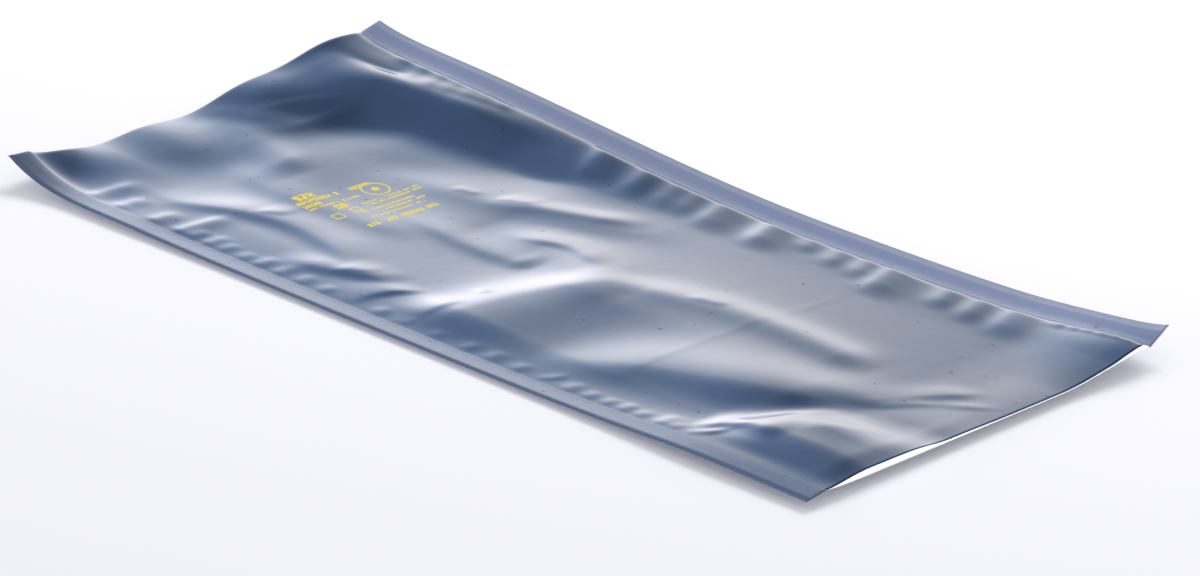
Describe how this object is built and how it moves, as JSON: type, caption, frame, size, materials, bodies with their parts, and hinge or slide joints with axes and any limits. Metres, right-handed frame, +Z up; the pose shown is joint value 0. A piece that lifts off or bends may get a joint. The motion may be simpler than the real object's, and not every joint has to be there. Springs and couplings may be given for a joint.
{
  "type": "anti static shielding bag",
  "caption": "Flat open-ended pouch of thin metallised film, folded at one end and heat sealed along both long sides, for holding circuit boards.",
  "frame": {"origin": "on the table under the middle of the pouch", "axes": "+X along the pouch towards its open mouth, +Y across it towards the side with the higher edge, +Z up from the table"},
  "size_m": [0.61, 0.305, 0.0322],
  "materials": {
    "metallised_film": "glossy blue-grey metallised film"
  },
  "bodies": {
    "root": {"film_pouch": "metallised_film"}
  },
  "joints": []
}
